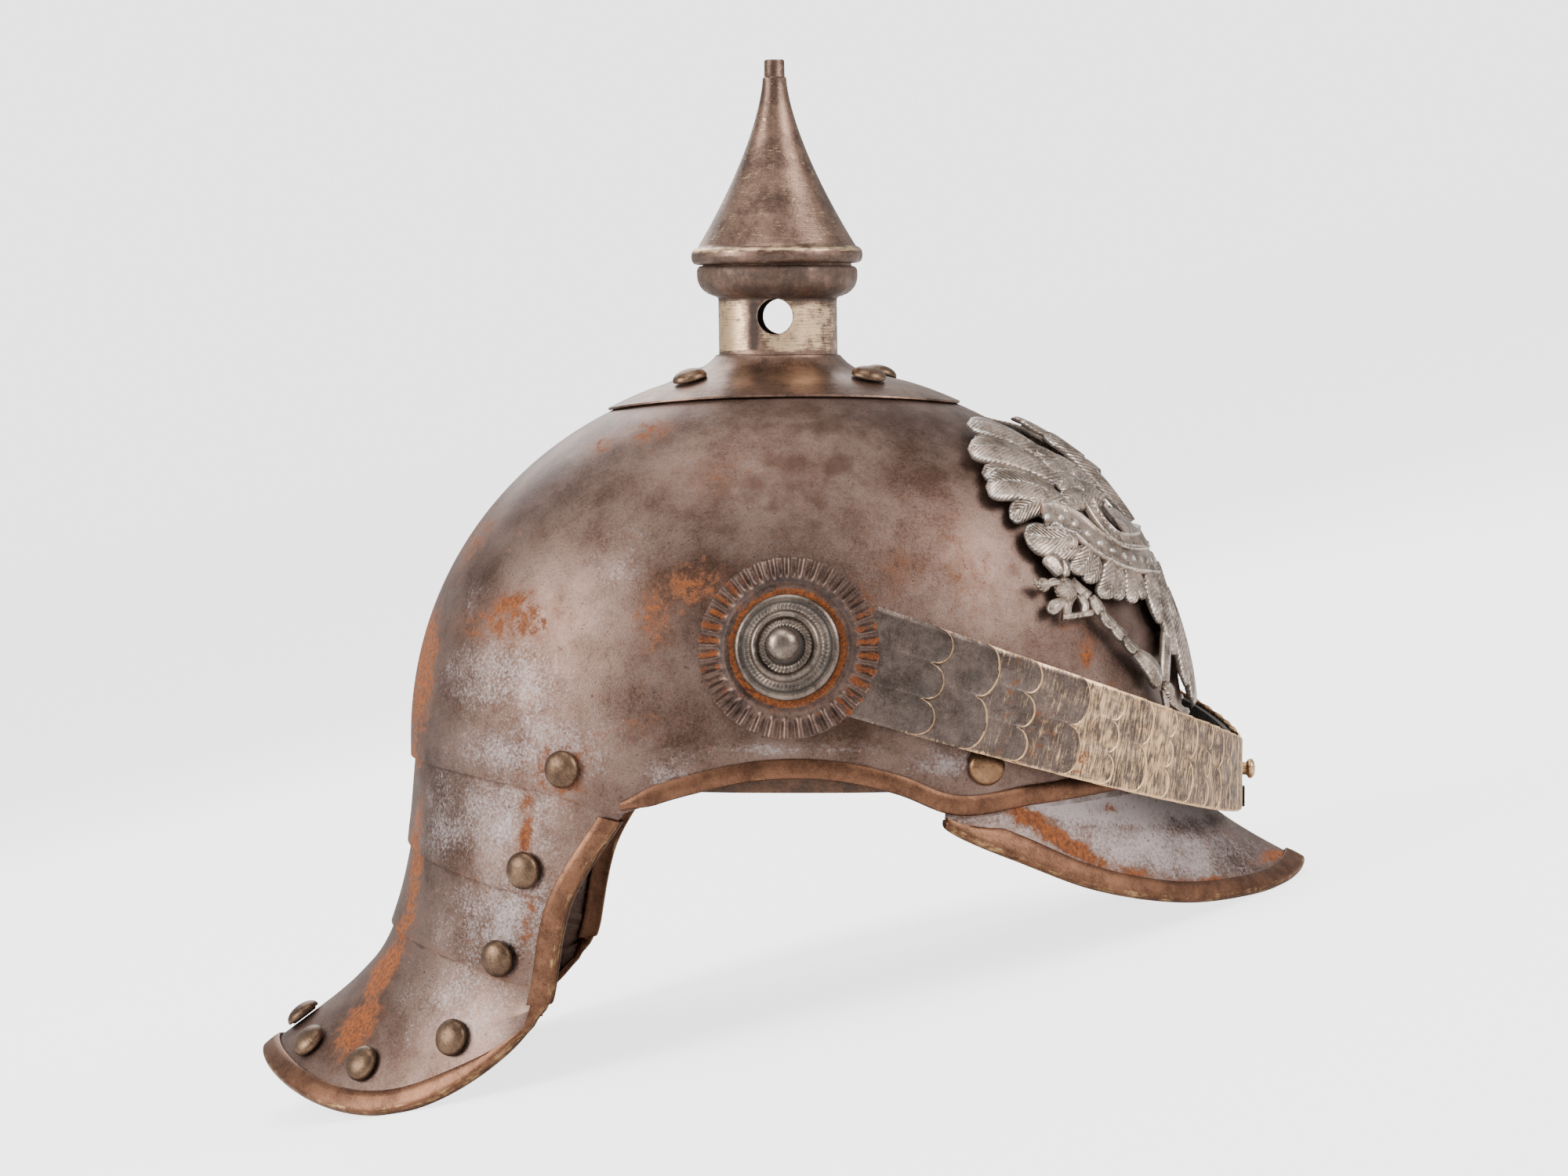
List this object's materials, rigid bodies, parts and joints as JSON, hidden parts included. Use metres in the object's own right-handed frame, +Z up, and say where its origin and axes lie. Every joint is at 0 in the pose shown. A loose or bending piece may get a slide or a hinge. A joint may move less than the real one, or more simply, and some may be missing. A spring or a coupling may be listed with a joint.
{
  "type": "cuirassier helmet",
  "caption": "Spiked steel cavalry helmet with a brass-bound peak, lobster-tail neck guard, fluted side rosettes, scaled chin straps and a pierced relief eagle.",
  "frame": {"origin": "centre of the bounding box on the surface that the helmet stands on", "axes": "+X to the front of the helmet, +Y to the wearer's left, +Z up; it rests on its neck guard's rim and its peak's rim"},
  "size_m": [0.34, 0.2288, 0.2918],
  "materials": {
    "base_stud_1": "dark bronze patina",
    "base_stud_2": "dark bronze patina",
    "base_stud_3": "dark bronze patina",
    "base_stud_4": "dark bronze patina",
    "boss_left": "dull pewter-grey relief",
    "boss_right": "dull pewter-grey relief",
    "brow_rivet_left": "dark bronze patina",
    "brow_rivet_right": "dark bronze patina",
    "eagle_plate": "dull pewter-grey relief",
    "lame_1": "worn bare steel, corroded",
    "lame_2": "worn bare steel, corroded",
    "lame_3": "worn bare steel, corroded",
    "lame_rivet_1_left": "dark bronze patina",
    "lame_rivet_1_right": "dark bronze patina",
    "lame_rivet_2_left": "dark bronze patina",
    "lame_rivet_2_right": "dark bronze patina",
    "peak": "worn bare steel, corroded",
    "peak_trim": "dark bronze patina",
    "rim_band": "dark bronze patina",
    "rosette_left": "dark bronze patina",
    "rosette_right": "dark bronze patina",
    "skull": "worn bare steel, corroded",
    "skull_rivet_left": "dark bronze patina",
    "skull_rivet_right": "dark bronze patina",
    "spike_base": "dark bronze patina",
    "spike_finial": "dark bronze patina",
    "strap_buckle": "worn, scratched brass",
    "strap_hook": "worn, scratched brass",
    "strap_leather": "old brown leather",
    "strap_scales_left": "worn, scratched brass",
    "strap_scales_right": "worn, scratched brass",
    "strap_tab": "old brown leather",
    "sweatband": "old brown leather",
    "tail_rivet_1_left": "dark bronze patina",
    "tail_rivet_1_right": "dark bronze patina",
    "tail_rivet_2_left": "dark bronze patina",
    "tail_rivet_2_right": "dark bronze patina",
    "tail_rivet_3_left": "dark bronze patina",
    "tail_rivet_3_right": "dark bronze patina",
    "tail_rivet_middle": "dark bronze patina",
    "tail_trim": "dark bronze patina"
  },
  "bodies": {
    "root": {"base_stud_1": "base_stud_1", "base_stud_2": "base_stud_2", "base_stud_3": "base_stud_3", "base_stud_4": "base_stud_4", "boss_left": "boss_left", "boss_right": "boss_right", "brow_rivet_left": "brow_rivet_left", "brow_rivet_right": "brow_rivet_right", "eagle_plate": "eagle_plate", "lame_1": "lame_1", "lame_2": "lame_2", "lame_3": "lame_3", "lame_rivet_1_left": "lame_rivet_1_left", "lame_rivet_1_right": "lame_rivet_1_right", "lame_rivet_2_left": "lame_rivet_2_left", "lame_rivet_2_right": "lame_rivet_2_right", "peak": "peak", "peak_trim": "peak_trim", "rim_band": "rim_band", "rosette_left": "rosette_left", "rosette_right": "rosette_right", "skull": "skull", "skull_rivet_left": "skull_rivet_left", "skull_rivet_right": "skull_rivet_right", "spike_base": "spike_base", "spike_finial": "spike_finial", "strap_buckle": "strap_buckle", "strap_hook": "strap_hook", "strap_leather": "strap_leather", "strap_scales_left": "strap_scales_left", "strap_scales_right": "strap_scales_right", "strap_tab": "strap_tab", "sweatband": "sweatband", "tail_rivet_1_left": "tail_rivet_1_left", "tail_rivet_1_right": "tail_rivet_1_right", "tail_rivet_2_left": "tail_rivet_2_left", "tail_rivet_2_right": "tail_rivet_2_right", "tail_rivet_3_left": "tail_rivet_3_left", "tail_rivet_3_right": "tail_rivet_3_right", "tail_rivet_middle": "tail_rivet_middle", "tail_trim": "tail_trim"}
  },
  "joints": []
}
